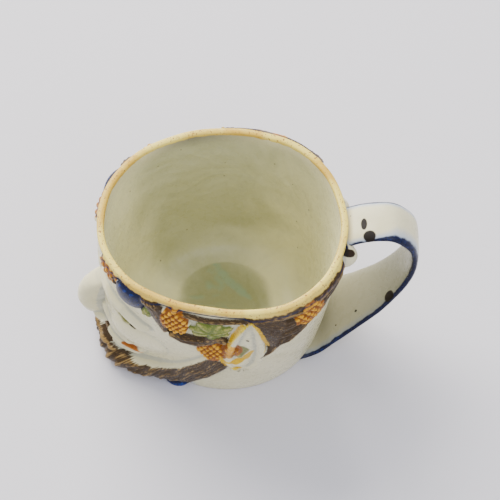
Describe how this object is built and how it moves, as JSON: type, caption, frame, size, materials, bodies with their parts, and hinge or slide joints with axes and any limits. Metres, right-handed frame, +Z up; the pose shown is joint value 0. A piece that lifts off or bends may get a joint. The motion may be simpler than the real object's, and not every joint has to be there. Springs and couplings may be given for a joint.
{
  "type": "satyr mug",
  "caption": "Glazed earthenware mug moulded as a satyr's head with beard, pointed ears and a wreath of fruit and leaves, with a strap handle.",
  "frame": {"origin": "point on the flat underside below the middle of the cup", "axes": "+Z up, -Y the way the moulded face looks, +Y towards the handle"},
  "size_m": [0.0991, 0.1491, 0.0858],
  "materials": {
    "mug": "glossy lead glaze with painted underglaze colours"
  },
  "bodies": {
    "root": {"mug": "mug"}
  },
  "joints": []
}
